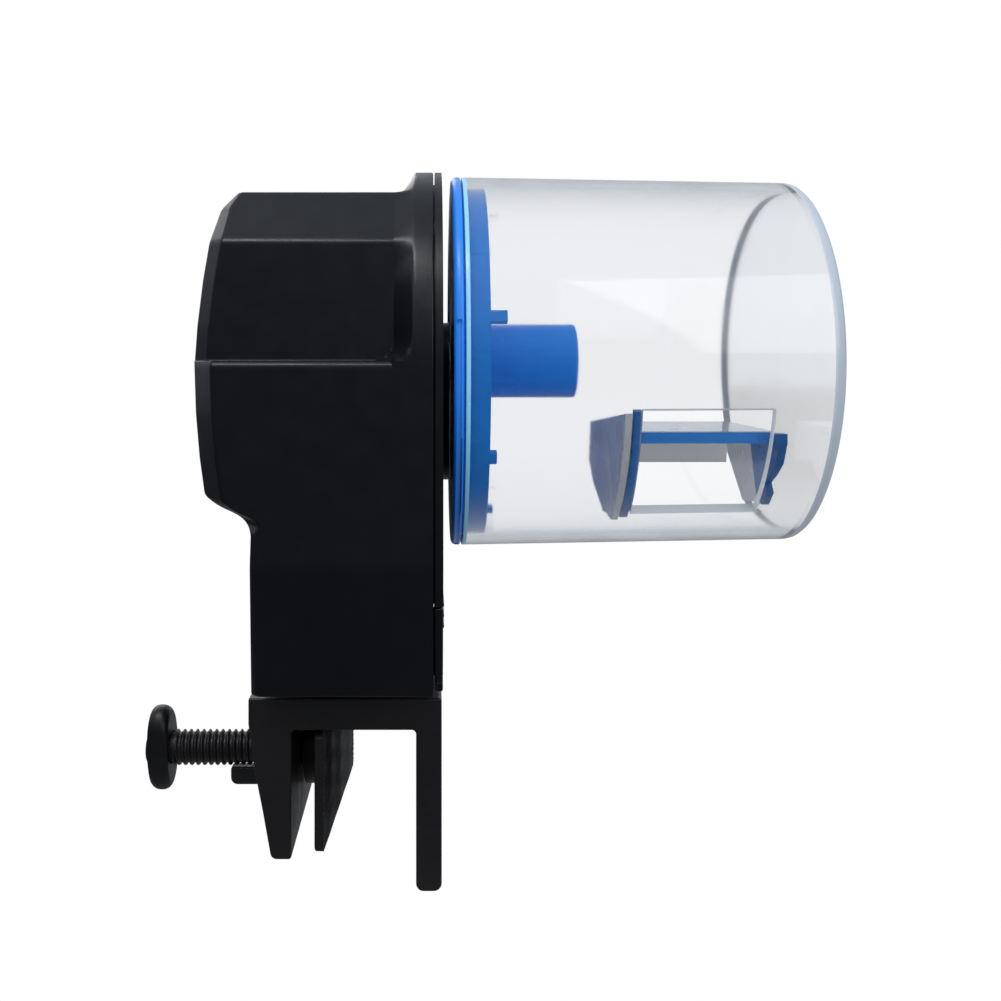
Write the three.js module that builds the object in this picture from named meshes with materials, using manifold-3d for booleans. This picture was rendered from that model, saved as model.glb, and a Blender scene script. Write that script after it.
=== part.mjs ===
// Automatic aquarium fish feeder: a clamp-on drive unit that turns a clear food drum.
// Millimetres, +Z up. Origin: centre of the bracket's rim seat. +X points from the display to the drum.
import * as THREE from "three";
import { mergeVertices } from "three/addons/utils/BufferGeometryUtils.js";
import Module from "manifold-3d";

const wasm = await Module();
wasm.setup();

// ---- driving dimensions ----
const GAP = 0.3; // clearance kept between neighbouring pieces
const AXIS_Z = 66; // height of the drum's axis above the rim seat
const RIM_R = 36.9; // rear rim of the housing
const WALL = 2; // moulded wall of the housing
const RIM_X = 7.3; // front of the rear rim
const PART_X = 11.1; // parting line between housing and back cover
const BACK_X = 12.7; // rear face of the back cover
const NECK_TOP_Z = 32; // where the straight sides start to taper
const BODY_BOTTOM_Z = 8.6;
const BODY_BOTTOM_W = 30; // half width at the bottom
const TURRET_W = 31; // half width of the display housing at the ledge
const TURRET_SIDE_W = 30; // and where its roof chamfer starts
const TURRET_SIDE_Z = 86.6;
const TURRET_TOP_W = 20.2;
const TURRET_TOP_Z = 96.4;
const FACE_BEVEL = 2.6; // bevel between the side walls and the front face
const FACE_BOW = 0.0022; // the front face bows out: offset = FACE_BOW * y^2
const DOOR_TOP_Z = 24.9;
const LCD_Z = 75; // centre of the display window
const BUTTON_Z = 54;
const BUTTON_Y = [-18, -6, 6, 18];
const CELL_R = 7.15; // size AA cell
const CELL_L = 50.5;
const CELL_X = [3.7, -10.75];
const CELL_Z = 17.35;
const GEAR_MODULE = 0.6;
const ROUND = 56; // facets around the drum
const DRUM_R = 36;
const DRUM_END_R = 34.9;
const DRUM_WALL = 1.8;
const LID_X = 14.5;
const DRUM_X = 16.5; // mouth of the drum, against the lid's flange
const DRUM_END_X = 80.1;
const HUB_R = 7.25;
const HUB_END_X = 39;
const WINDOW_X = [45.9, 68.2]; // dose outlet in the drum's wall
const WINDOW_DEG = [13.5, 49.8]; // below the horizontal, on the -Y side
const TRAY_X = 43.3; // front of the dose tray's end wall
const PLATE_T = 1.3;
const SCREW_Z = -10.8; // clamp screw axis
const SCREW_R = 3.4;
const BRACKET_W = 21.5; // half width of the clamp bracket
const FIXED_JAW_X = 8;
const PAD_FACE_X = -7.3;
const PAD_YAW_DEG = -3.3;

// ---- geometry to solid and back ----
const X = new THREE.Vector3(1, 0, 0);
const Y = new THREE.Vector3(0, 1, 0);
const Z = new THREE.Vector3(0, 0, 1);

function solid(geometry) {
  const bare = geometry.clone();
  bare.deleteAttribute("normal");
  bare.deleteAttribute("uv");
  const merged = mergeVertices(bare, 1e-4);
  const kept = [];
  const index = merged.index.array;
  for (let i = 0; i < index.length; i += 3) {
    const [a, b, c] = [index[i], index[i + 1], index[i + 2]];
    if (a !== b && b !== c && c !== a) kept.push(a, b, c);
  }
  const vertProperties = merged.attributes.position.array;
  const triVerts = new Uint32Array(kept);
  return new wasm.Manifold(new wasm.Mesh({ numProp: 3, vertProperties, triVerts }));
}

function geometryOf(body) {
  const { numProp, vertProperties, triVerts } = body.getMesh();
  if (numProp !== 3) throw new Error("only positions are expected");
  const geometry = new THREE.BufferGeometry();
  geometry.setAttribute("position", new THREE.BufferAttribute(vertProperties.slice(), 3));
  geometry.setIndex(new THREE.BufferAttribute(triVerts.slice(), 1));
  const flat = geometry.toNonIndexed();
  flat.computeVertexNormals();
  return flat;
}

const moved = (body, x, y, z) => body.translate([x, y, z]);
const joined = (...bodies) => bodies.reduce((sum, body) => sum.add(body));
const cut = (body, ...tools) => tools.reduce((rest, tool) => rest.subtract(tool), body);

// A block between two corners.
function block(low, high) {
  const size = high.map((v, i) => v - low[i]);
  const box = new THREE.BoxGeometry(...size);
  return solid(box.translate(...low.map((v, i) => v + size[i] / 2)));
}

// A round bar along X, from x = a to x = b.
function barX(r, a, b, y = 0, z = 0, segments = 28) {
  const bar = new THREE.CylinderGeometry(r, r, b - a, segments).rotateZ(-Math.PI / 2);
  return solid(bar.translate((a + b) / 2, y, z));
}

// A round bar along Z, from z = a to z = b.
function barZ(r, a, b, x = 0, y = 0, segments = 24) {
  const bar = new THREE.CylinderGeometry(r, r, b - a, segments).rotateX(Math.PI / 2);
  return solid(bar.translate(x, y, (a + b) / 2));
}

// A round bar along Y, from y = a to y = b.
function barY(r, a, b, x = 0, z = 0, segments = 32) {
  const bar = new THREE.CylinderGeometry(r, r, b - a, segments);
  return solid(bar.translate(x, (a + b) / 2, z));
}

const shapeOf = (points) => new THREE.Shape(points.map(([u, v]) => new THREE.Vector2(u, v)));

// A (y, z) outline extruded from x = a to x = b.
function slabX(points, a, b) {
  const plate = new THREE.ExtrudeGeometry(shapeOf(points), { depth: b - a, bevelEnabled: false });
  plate.applyMatrix4(new THREE.Matrix4().makeBasis(Y, Z, X));
  return solid(plate.translate(a, 0, 0));
}

// An (x, z) outline extruded from y = -half to y = +half.
function slabY(points, half) {
  const plate = new THREE.ExtrudeGeometry(shapeOf(points), { depth: 2 * half, bevelEnabled: false });
  plate.applyMatrix4(new THREE.Matrix4().makeBasis(X, Z, Y.clone().negate()));
  return solid(plate.translate(0, half, 0));
}

// A profile of (x, r) points turned about the X direction, starting and ending on the axis.
function turned(profile, segments, z = 0) {
  const points = profile.map(([x, r]) => new THREE.Vector2(r, x));
  const lathe = new THREE.LatheGeometry(points, segments).rotateZ(-Math.PI / 2);
  return solid(lathe.translate(0, 0, z));
}

// A skin over rings with the same number of points, closed by a fan at each end.
function loft(rings) {
  const count = rings[0].length;
  const positions = rings.flat().flat();
  const index = [];
  for (let i = 0; i + 1 < rings.length; i++)
    for (let j = 0; j < count; j++) {
      const k = (j + 1) % count;
      const [a, b] = [i * count + j, i * count + k];
      index.push(a, b, b + count, a, b + count, a + count);
    }
  const last = (rings.length - 1) * count;
  for (let j = 1; j + 1 < count; j++) index.push(0, j + 1, j, last, last + j, last + j + 1);
  const skin = new THREE.BufferGeometry();
  skin.setAttribute("position", new THREE.Float32BufferAttribute(positions, 3));
  skin.setIndex(index);
  return solid(skin);
}

// Points on an arc about (cy, cz); angles in degrees from +Y towards +Z.
function arc(cy, cz, r, from, to, steps) {
  return Array.from({ length: steps + 1 }, (_, i) => {
    const angle = THREE.MathUtils.degToRad(from + ((to - from) * i) / steps);
    return [cy + r * Math.cos(angle), cz + r * Math.sin(angle)];
  });
}

// ---- outlines shared by the housing and its back cover ----
function mix(table, z) {
  const next = table.findIndex(([level]) => level >= z);
  if (next <= 0) return table[next < 0 ? table.length - 1 : 0][1];
  const [z0, v0] = table[next - 1];
  const [z1, v1] = table[next];
  return v0 + ((v1 - v0) * (z - z0)) / (z1 - z0);
}

const BODY_WIDTHS = [[BODY_BOTTOM_Z, BODY_BOTTOM_W], [NECK_TOP_Z, RIM_R], [AXIS_Z, RIM_R]];
const TURRET_WIDTHS = [
  [AXIS_Z, TURRET_W], [TURRET_SIDE_Z, TURRET_SIDE_W], [TURRET_TOP_Z, TURRET_TOP_W],
];
// Height to the most forward point of the front face.
const FACE = [
  [8.6, -20.2], [32, -19.3], [37.8, -19.1], [39.4, -23.4], [41.2, -27.5], [43, -29.8], [49.5, -30.6],
  [57, -31.2], [66, -31.5], [72, -31.3], [80, -30.4], [86.6, -29.3], [93, -28], [96.4, -25.9],
];
const NECK_LEVEL_Z = 38; // below it the front wall is flat and its corners are sharper

const bodyWidth = (z) => mix(BODY_WIDTHS, z);
const turretWidth = (z) => mix(TURRET_WIDTHS, z);
const faceX = (z, y) => mix(FACE, z) + (z < NECK_LEVEL_Z ? 0 : FACE_BOW * y * y);

// A horizontal section of the housing at height z, inset on every side, open to the rear at x = rear.
function section(z, halfWidth, inset, rear) {
  const bevel = z < NECK_LEVEL_Z ? 1 : FACE_BEVEL;
  const side = halfWidth - inset;
  const face = side - bevel;
  const front = [1, 0.5, 0, -0.5, -1].map((t) => [faceX(z, t * face) + inset, t * face, z]);
  const corner = faceX(z, face) + inset + bevel;
  return [[rear, -side, z], [rear, side, z], [corner, side, z], ...front, [corner, -side, z]];
}

// The rear outline: an arch over straight sides that taper to the bottom.
function rimOutline(inset, bottom) {
  const side = (z) => bodyWidth(z) - inset;
  const arch = arc(0, AXIS_Z, RIM_R - inset, 0, 180, 32);
  const low = [[-side(bottom), bottom], [side(bottom), bottom]];
  if (bottom >= NECK_TOP_Z) return [...arch, ...low];
  return [...arch, [-side(NECK_TOP_Z), NECK_TOP_Z], ...low, [side(NECK_TOP_Z), NECK_TOP_Z]];
}

// The mouth of the housing's cavity.
function mouthOutline(inset, bottom) {
  const w = (z) => (z > AXIS_Z ? turretWidth(z) : Math.min(bodyWidth(z), TURRET_W)) - WALL - inset;
  const top = TURRET_TOP_Z - WALL - inset;
  const roof = TURRET_TOP_W - (WALL + inset) * 0.42;
  const shoulder = TURRET_SIDE_Z - (WALL + inset) * 0.42;
  const right = [[w(bottom), bottom], [w(AXIS_Z), AXIS_Z], [w(shoulder), shoulder], [roof, top]];
  const left = right.map(([y, z]) => [-y, z]).reverse();
  return [...right, ...left];
}

const BEAD_X = 10.6; // front edge of the bead round the back cover
const BEAD_INSETS = [2.35, 3.3]; // its outer and inner faces, in from the rim

// The groove in the housing's rear rim, over the arch, that the back cover's bead sits in.
function rimGroove() {
  const outer = slabX(rimOutline(BEAD_INSETS[0] - GAP, AXIS_Z - 6), BEAD_X - GAP, PART_X + 1);
  return outer.subtract(slabX(rimOutline(BEAD_INSETS[1] + GAP, AXIS_Z - 7), BEAD_X - 1, PART_X + 2));
}

// ---- drive unit: housing and cover ----
const POSTS = [[22, 88], [-22, 88], [30.4, 35.5], [-30.4, 35.5]];
const POST_END_X = 8;
const CUP_R = 4.2; // screw cups of the back cover
const BRACKET_SCREW_X = (CELL_X[0] + CELL_X[1]) / 2; // between the cells
const BRACKET_SCREWS_Y = [-12, 12];

function turretToRim() {
  const rings = [[3.8, 0], [5.4, 0.22], [RIM_X, 1], [RIM_X + 0.4, 1]].map(([x, share]) =>
    arc(0, 0, 1, 0, 180, 28).map(([c, s]) => {
      const flat = Math.min(TURRET_W / Math.max(Math.abs(c), 1e-6), (TURRET_TOP_Z - AXIS_Z) / Math.max(s, 1e-6));
      const chamfer = (TURRET_TOP_W + TURRET_TOP_Z - AXIS_Z) / (Math.abs(c) + s);
      const r = Math.min(flat, chamfer) * (1 - share) + RIM_R * share;
      return [x, r * c, AXIS_Z + r * s];
    }),
  );
  return loft(rings);
}

function housingShell() {
  const levels = FACE.map(([z]) => z);
  const low = levels.filter((z) => z <= AXIS_Z);
  const high = levels.filter((z) => z >= AXIS_Z);
  const body = loft(low.map((z) => section(z, bodyWidth(z), 0, PART_X)));
  const turret = loft(high.map((z) => section(z, turretWidth(z), 0, PART_X)));
  const rim = slabX(rimOutline(0, AXIS_Z - 1), RIM_X, PART_X);
  return joined(body, turret, turretToRim(), rim);
}

function housingCavity() {
  const rear = PART_X + 1;
  const floor = BODY_BOTTOM_Z + 1.2;
  const low = [floor, NECK_TOP_Z, 37.8, 40.6, 43, 44.8, 57, AXIS_Z - 1];
  const body = loft(low.map((z) => section(z, bodyWidth(z), WALL - 0.2, rear)));
  const high = [AXIS_Z - 1.2, 80, TURRET_SIDE_Z - 0.8, 92, TURRET_TOP_Z - WALL];
  const turret = loft(high.map((z) => section(z, turretWidth(z), WALL, rear)));
  return body.add(turret);
}

function frontHousing() {
  const shell = housingShell();
  const posts = joined(...POSTS.map(([y, z]) => barX(3, -29, POST_END_X, y, z, 12)));
  const bosses = BRACKET_SCREWS_Y.map((y) => barZ(2.3, 9, 11.9, BRACKET_SCREW_X, y, 12));
  const filled = joined(cut(shell, housingCavity()), posts.intersect(shell), ...bosses);
  const pilots = POSTS.map(([y, z]) => barX(1.4, -4, PART_X + 1, y, z, 8));
  const seats = POSTS.map(([y, z]) => barX(CUP_R + GAP, POST_END_X, PART_X + 1, y, z, 16));
  const holes = BRACKET_SCREWS_Y.map((y) => barZ(1.4, 8, 11.4, BRACKET_SCREW_X, y, 8));
  const lcd = block([-34, -19, LCD_Z - 9.5], [-24, 19, LCD_Z + 9.5]);
  const keys = BUTTON_Y.map((y) => barX(3.4, -34, -24, y, BUTTON_Z, 16));
  return cut(filled, rimGroove(), ...pilots, ...seats, ...holes, lcd, ...keys);
}

function backCover() {
  const bottom = DOOR_TOP_Z + GAP;
  const panel = slabX(rimOutline(0, bottom), PART_X + GAP, BACK_X);
  const lipOuter = slabX(mouthOutline(GAP, 27.5), 9.2, PART_X + GAP);
  const lipInner = slabX(mouthOutline(GAP + 1.3, 28.8), 9, PART_X + GAP);
  const beadOuter = slabX(rimOutline(BEAD_INSETS[0], bottom), BEAD_X, PART_X + GAP + 0.1);
  const beadInner = slabX(rimOutline(BEAD_INSETS[1], bottom - 1), BEAD_X - 1, PART_X + GAP);
  const nose = slabX([...arc(0, AXIS_Z, 7.6, 0, 180, 10), ...arc(0, 50, 7.6, 180, 360, 10)], 9.5, 14.2);
  const bore = barX(6.1, 9, 15, 0, AXIS_Z, 20);
  const cups = POSTS.map(([y, z]) => barX(CUP_R, POST_END_X + GAP, BACK_X, y, z, 16));
  const heads = POSTS.map(([y, z]) => barX(3, 10.2, BACK_X + 1, y, z, 16));
  const shanks = POSTS.map(([y, z]) => barX(1.6, POST_END_X - 1, 11, y, z, 8));
  const pegs = ARBORS.map(([y, z]) => barX(2.4, 10, PART_X + GAP, y, z, 12));
  const pegHoles = ARBORS.map(([y, z]) => barX(1.3, 9, 11, y, z, 12));
  const body = joined(panel, cut(lipOuter, lipInner), cut(beadOuter, beadInner), nose, ...cups, ...pegs);
  return cut(body, bore, ...heads, ...shanks, ...pegHoles);
}

// A cross-headed screw along X, head towards +X.
function screwX(y, z, tipX, headX) {
  const body = turned([[tipX, 0], [tipX + 1, 1.1], [headX, 1.1], [headX, 2.6], [headX + 1.6, 2.3],
    [headX + 1.9, 0]], 12).translate([0, y, z]);
  const slot = (dy, dz) => block([headX + 0.8, y - dy, z - dz], [headX + 3, y + dy, z + dz]);
  return cut(body, slot(1.5, 0.3), slot(0.3, 1.5));
}

function batteryDoor() {
  const bottom = BODY_BOTTOM_Z + 1.1;
  const [low, high] = [bodyWidth(bottom), bodyWidth(DOOR_TOP_Z)];
  const outline = [[low, bottom], [high, DOOR_TOP_Z], [-high, DOOR_TOP_Z], [-low, bottom]];
  const panel = slabX(outline, PART_X + GAP, BACK_X);
  const grips = [0, 1, 2].map((i) => block([BACK_X - 0.1, -9, 15 + 2 * i], [BACK_X + 0.5, 9, 15.8 + 2 * i]));
  const rib = (side) => {
    const edge = (inset) => [12, DOOR_TOP_Z - 0.4].map((z) => [side * (bodyWidth(z) - inset), z]);
    const corners = [...edge(BEAD_INSETS[0]), ...edge(BEAD_INSETS[1]).reverse()];
    return slabX(side > 0 ? corners : corners.reverse(), BEAD_X, PART_X + GAP + 0.1);
  };
  const nick = (side) => block([PART_X, side * 31.4 - 1.2, 11.4], [BACK_X + 1, side * 31.4 + 1.2, 12.4]);
  return cut(joined(panel, ...grips, rib(1), rib(-1)), nick(1), nick(-1));
}

// ---- display and controls ----
const FACE_TILT = Math.atan2(FACE[10][1] - FACE[8][1], FACE[10][0] - FACE[8][0]);

// Turns a piece that was built upright about the display's centre to lie along the face.
function tilted(body, x) {
  const degrees = THREE.MathUtils.radToDeg(FACE_TILT);
  return body.translate([-x, 0, -LCD_Z]).rotate([0, degrees, 0]).translate([x, 0, LCD_Z]);
}

function displayLens() {
  const x = faceX(LCD_Z, 19) - 0.1;
  return tilted(block([x, -18.7, LCD_Z - 9.2], [x + 1.6, 18.7, LCD_Z + 9.2]), x);
}

function lcdModule() {
  const x = -25.6;
  const frame = block([x, -18.6, LCD_Z - 11.5], [x + 2.6, 18.6, LCD_Z + 11.5]);
  const glass = block([x - 0.6, -17.5, LCD_Z - 8], [x + 1, 17.5, LCD_Z + 8]);
  return tilted(joined(frame, glass), x);
}

function controlBoard() {
  const board = block([-21.2, -26, 45], [-19.6, 26, 84]);
  const chip = block([-19.7, -18, 64], [-18.4, -8, 74]);
  const buzzer = barX(4.5, -19.7, -15.5, 18, 58, 16);
  const crystal = block([-19.7, -5, 50], [-17.5, 2, 53]);
  const holes = [[23, 48], [-23, 48], [23, 81], [-23, 81]].map(([y, z]) => barX(1.3, -22, -19, y, z, 8));
  return cut(joined(board, chip, buzzer, crystal), ...holes);
}

function button(y) {
  const front = faceX(BUTTON_Z, y) - 0.7;
  const cap = turned([[front, 0], [front, 2.5], [front + 0.5, 3.05], [-27.3, 3.05], [-27.3, 4.2],
    [-26.5, 4.2], [-26.5, 0]], 16, BUTTON_Z);
  return moved(cap, 0, y, 0);
}

function buttonMat() {
  const sheet = block([-22.8, -24, BUTTON_Z - 5], [-21.5, 24, BUTTON_Z + 5]);
  const domes = BUTTON_Y.map((y) => barX(1.6, -25.5, -22, y, BUTTON_Z, 8));
  return joined(sheet, ...domes);
}

// ---- battery compartment ----
function batteryTray() {
  const roof = block([-17, -30, 25.2], [10.2, 30, 26.4]);
  const wall = (side) => block([-16, Math.min(side * 27.9, side * 28.7), 13],
    [10.2, Math.max(side * 27.9, side * 28.7), 25.5]);
  return joined(roof, wall(1), wall(-1));
}

function cell(x, side) {
  const half = CELL_L / 2;
  const can = barY(CELL_R, -half, half - 1.2, 0, 0, 28);
  const nub = barY(2.6, half - 1.3, half, 0, 0, 12);
  return joined(can, nub).rotate([0, 0, side > 0 ? 0 : 180]).translate([x, 0, CELL_Z]);
}

function contactPlate(xs, side) {
  const y0 = side * 27.6;
  const y1 = side * 27.2;
  return block([Math.min(...xs) - 3.4, Math.min(y0, y1), CELL_Z - 3.4],
    [Math.max(...xs) + 3.4, Math.max(y0, y1), CELL_Z + 3.4]);
}

// A conical contact spring from the contact plate towards a cell's flat end.
function contactSpring(x, side) {
  const turns = 3;
  const steps = 8 * turns;
  const points = Array.from({ length: steps + 1 }, (_, i) => {
    const t = i / steps;
    const angle = 2 * Math.PI * turns * t;
    const r = 3 - 1.2 * t;
    return new THREE.Vector3(x + r * Math.cos(angle), side * (26.75 - 1.05 * t), CELL_Z + r * Math.sin(angle));
  });
  const path = new THREE.CatmullRomCurve3(points);
  const wire = new THREE.Shape(arc(0, 0, 0.2, 0, 270, 3).map(([u, v]) => new THREE.Vector2(u, v)));
  return solid(new THREE.ExtrudeGeometry(wire, { steps, extrudePath: path, bevelEnabled: false }));
}

// ---- gear train ----
const TEETH = { output: 40, wheel: 30, pinion: 10 };
const pitchRadius = (teeth) => (teeth * GEAR_MODULE) / 2;
const polar = ([y, z], r, degrees) => {
  const angle = THREE.MathUtils.degToRad(degrees);
  return [y + r * Math.cos(angle), z + r * Math.sin(angle)];
};
const OUTPUT_AT = [0, AXIS_Z];
const LEAD_DEG = [150, 55, -15]; // direction of each next gear's centre
const SECOND_AT = polar(OUTPUT_AT, pitchRadius(TEETH.output) + pitchRadius(TEETH.pinion), LEAD_DEG[0]);
const FIRST_AT = polar(SECOND_AT, pitchRadius(TEETH.wheel) + pitchRadius(TEETH.pinion), LEAD_DEG[1]);
const MOTOR_AT = polar(FIRST_AT, pitchRadius(TEETH.wheel) + pitchRadius(TEETH.pinion), LEAD_DEG[2]);
const ARBORS = [SECOND_AT, FIRST_AT];
const GEAR_PLATE_X = [-4.1, -2.6];

// Turn of a gear (degrees) that meshes with a neighbour already turned by phase.
function meshPhase(phase, teeth, lead, nextTeeth) {
  const passed = ((lead - phase) * teeth) / 360;
  return lead + 180 - ((0.5 - passed) * 360) / nextTeeth;
}

const SECOND_PHASE = meshPhase(0, TEETH.output, LEAD_DEG[0], TEETH.pinion);
const FIRST_PHASE = meshPhase(SECOND_PHASE, TEETH.wheel, LEAD_DEG[1], TEETH.pinion);
const MOTOR_PHASE = meshPhase(FIRST_PHASE, TEETH.wheel, LEAD_DEG[2], TEETH.pinion);

// A spur gear with straight-sided teeth, thinned for running clearance.
function spurGear(teeth, phase, [y, z], a, b) {
  const pitch = pitchRadius(teeth);
  const tip = pitch + 0.75 * GEAR_MODULE;
  const root = pitch - 1.05 * GEAR_MODULE;
  const step = 360 / teeth;
  const outline = [];
  for (let i = 0; i < teeth; i++) {
    const mid = phase + i * step;
    const at = (share, r) => polar([0, 0], r, mid + share * step);
    outline.push(at(-0.28, root), at(-0.12, tip), at(0.12, tip), at(0.28, root));
  }
  return moved(slabX(outline, a, b), 0, y, z);
}

function compoundGear(at, phase, wheelX, pinionX) {
  const wheel = spurGear(TEETH.wheel, phase, at, ...wheelX);
  const pinion = spurGear(TEETH.pinion, phase, at, ...pinionX);
  const hub = barX(1.9, wheelX[0] - 0.4, wheelX[0] + 0.1, ...at, 12);
  return cut(joined(wheel, pinion, hub), barX(1.08, -10, 20, ...at, 12));
}

function outputGear() {
  const wheel = spurGear(TEETH.output, 0, OUTPUT_AT, 5.2, 8);
  return cut(wheel, barX(3.1, 4, 9, ...OUTPUT_AT, 20));
}

function driveShaft() {
  const journal = turned([[-3.4, 0], [-3.4, 1.4], [4.8, 1.4], [4.8, 2.9], [8.3, 2.9], [8.3, 4], [14.2, 4],
    [14.2, 0]], 20, AXIS_Z);
  const hex = moved(slabX(arc(0, 0, 4, 0, 300, 5), 14, 32), 0, 0, AXIS_Z);
  return joined(journal, hex);
}

function shaftBush() {
  return turned([[9.6, 4.1], [9.6, 5.8], [13.9, 5.8], [13.9, 4.1], [9.6, 4.1]], 20, AXIS_Z);
}

function gearPlate() {
  const [a, b] = GEAR_PLATE_X;
  const outline = [[-19, 60], [9, 60], [15, 70], [15, 88], [8, 91.5], [-12, 91.5], [-19, 84]];
  const plate = slabX(outline, a, b);
  const legs = [[-16.6, 62.5], [13.2, 73], [9.6, 88.6]].map(([y, z]) => barX(1.8, b - 0.1, 9.9, y, z, 10));
  const bores = [barX(1.5, -6, 0, ...OUTPUT_AT, 20), barX(1.5, -6, 0, ...MOTOR_AT, 12)];
  const sockets = ARBORS.map((at) => barX(1.3, -6, 0, ...at, 12));
  return cut(joined(plate, ...legs), ...bores, ...sockets);
}

function gearMotor() {
  const [y, z] = MOTOR_AT;
  const can = barX(5.9, -19, GEAR_PLATE_X[0] - GAP, y, z, 24).intersect(
    block([-20, y - 6, z - 4.9], [0, y + 6, z + 4.9]));
  const shaft = barX(0.75, -5, 0.3, y, z, 10);
  return joined(can, shaft);
}

function motorPinion() {
  const gear = spurGear(TEETH.pinion, MOTOR_PHASE, MOTOR_AT, -2, 0.3);
  return cut(gear, barX(1.05, -4, 3, ...MOTOR_AT, 12));
}

// ---- clamp ----
function clampBracket() {
  const jaw = [[FIXED_JAW_X - 0.8, 0], [FIXED_JAW_X, -0.8], [FIXED_JAW_X, -27.6], [9.1, -28.8], [11.3, -28.8],
    [12.6, -27.4], [12.6, 5.2], [12.1, 5.7]];
  const leg = [[-21.7, 5.7], [-21.7, -2], [-20.3, -9], [-19.8, -14], [-19.2, -18], [-18.4, -22],
    [-17.6, -22.9], [-15.5, -22.9], [-15, -22.2], [-15, -0.8], [-14.2, 0]];
  const frame = slabY([...leg, ...jaw], BRACKET_W);
  const tongue = block([-13, -17, 5.6], [7, 17, BODY_BOTTOM_Z - GAP]);
  const rib = slabY([[-28.9, -14.4], [-28.9, -16.8], [-27.9, -17.8], [-18.5, -17.8], [-18.5, -14.4]], 1.4);
  const gusset = slabY([[-20, SCREW_Z + 6], [-23, SCREW_Z + 6], [-20.8, 1]], 1.2);
  const bore = barX(SCREW_R + GAP, -30, -10, 0, SCREW_Z, 24);
  const heads = BRACKET_SCREWS_Y.map((y) => barZ(2.9, -1, 2.3, BRACKET_SCREW_X, y, 14));
  const shanks = BRACKET_SCREWS_Y.map((y) => barZ(1.5, 0, 9, BRACKET_SCREW_X, y, 10));
  return cut(joined(frame, tongue, rib, gusset), bore, ...heads, ...shanks);
}

// The two screws that hold the bracket under the housing, heads down.
function bracketScrew(y) {
  const upright = screwX(0, 0, -11, -2);
  return upright.rotate([0, 90, 0]).translate([BRACKET_SCREW_X, y, 0]);
}

function yawed(body) {
  return body.translate([-PAD_FACE_X, 0, 0]).rotate([0, 0, PAD_YAW_DEG]).translate([PAD_FACE_X, 0, 0]);
}

function clampPad() {
  const [thick, web] = [1.8, 1.1];
  const plate = slabX([[21, -21], [19.6, -22.4], [-19.6, -22.4], [-21, -21], [-21, -1.6], [-20.4, -1.1],
    [20.4, -1.1], [21, -1.6]].reverse(), PAD_FACE_X - thick, PAD_FACE_X);
  const boss = barX(6.8, -14.1, PAD_FACE_X - thick + 0.1, 0, SCREW_Z, 28);
  const socket = barX(SCREW_R + 0.7, -16, PAD_FACE_X - web, 0, SCREW_Z, 24);
  return cut(yawed(joined(plate, boss)), socket);
}

function clampScrew() {
  return turned([[-44.6, 0], [-44.6, 2.9], [-40, 2.9], [-40, SCREW_R], [-13, SCREW_R], [-11.4, 2.6],
    [-10.6, 1.4], [-10.6, 0]], 24, SCREW_Z);
}

// A thumb bar with two lobes and a round hub between them.
function clampKnob() {
  const [waist, reach] = [4.3, 8.65];
  const outline = Array.from({ length: 48 }, (_, i) => {
    const angle = (i / 48) * 2 * Math.PI;
    const r = waist + (reach - waist) * Math.abs(Math.sin(angle)) ** 3;
    return [r * Math.cos(angle), r * Math.sin(angle)];
  });
  const edge = reach - 1;
  const chamfered = turned([[-45.3, 0], [-45.3, edge], [-44.3, reach], [-41.4, reach], [-40.4, edge],
    [-40.4, 0]], 24);
  const bar = slabX(outline, -46, -40).intersect(chamfered);
  const hub = barX(3.9, -46, -41, 0, 0, 20);
  return moved(cut(joined(bar, hub), barX(3.2, -44.9, -39, 0, 0, 20)), 0, 0, SCREW_Z);
}

// ---- food drum ----
const TAB_DEG = [167.4, 47.4, 287.4];
const FLANGE_END_X = DRUM_X - GAP;
const SKIRT_END_X = 20.6;

function drumLid() {
  const disc = turned([[LID_X, 0], [LID_X, 35.4], [LID_X + 0.6, DRUM_R], [FLANGE_END_X, DRUM_R],
    [FLANGE_END_X, 0]], ROUND);
  const skirtR = DRUM_R - DRUM_WALL - 0.4;
  const skirt = turned([[16, skirtR - 1.5], [16, skirtR], [SKIRT_END_X, skirtR], [SKIRT_END_X, skirtR - 1.5],
    [16, skirtR - 1.5]], ROUND);
  const ringSlice = (deg, span, a, b) => slabX([...arc(0, 0, skirtR, deg - span, deg + span, 4),
    ...arc(0, 0, skirtR - 1.5, deg + span, deg - span, 4)], a, b);
  const tabs = TAB_DEG.map((deg) => ringSlice(deg, 1.8, SKIRT_END_X - 0.1, 23.5));
  const hub = barX(HUB_R, 16, HUB_END_X, 0, 0, 28);
  const ribs = [0, 60, 120, 180, 240, 300].map((deg) => slabX([[6.5, -0.5], [11, -0.5], [11, 0.5], [6.5, 0.5]],
    16, 18.6).rotate([deg, 0, 0]));
  const socket = slabX(arc(0, 0, 4.3, 0, 300, 5), LID_X - 1, HUB_END_X - 2);
  return moved(cut(joined(disc, skirt, hub, ...tabs, ...ribs), socket), 0, 0, AXIS_Z);
}

// A wedge of the ring between two radii, on the -Y side, below the horizontal.
function sideSector(rIn, rOut, fromDeg, toDeg, a, b, steps = 8) {
  const outer = arc(0, 0, rOut, 180 + fromDeg, 180 + toDeg, steps);
  const inner = arc(0, 0, rIn, 180 + toDeg, 180 + fromDeg, steps);
  return slabX([...outer, ...inner], a, b);
}

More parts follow.
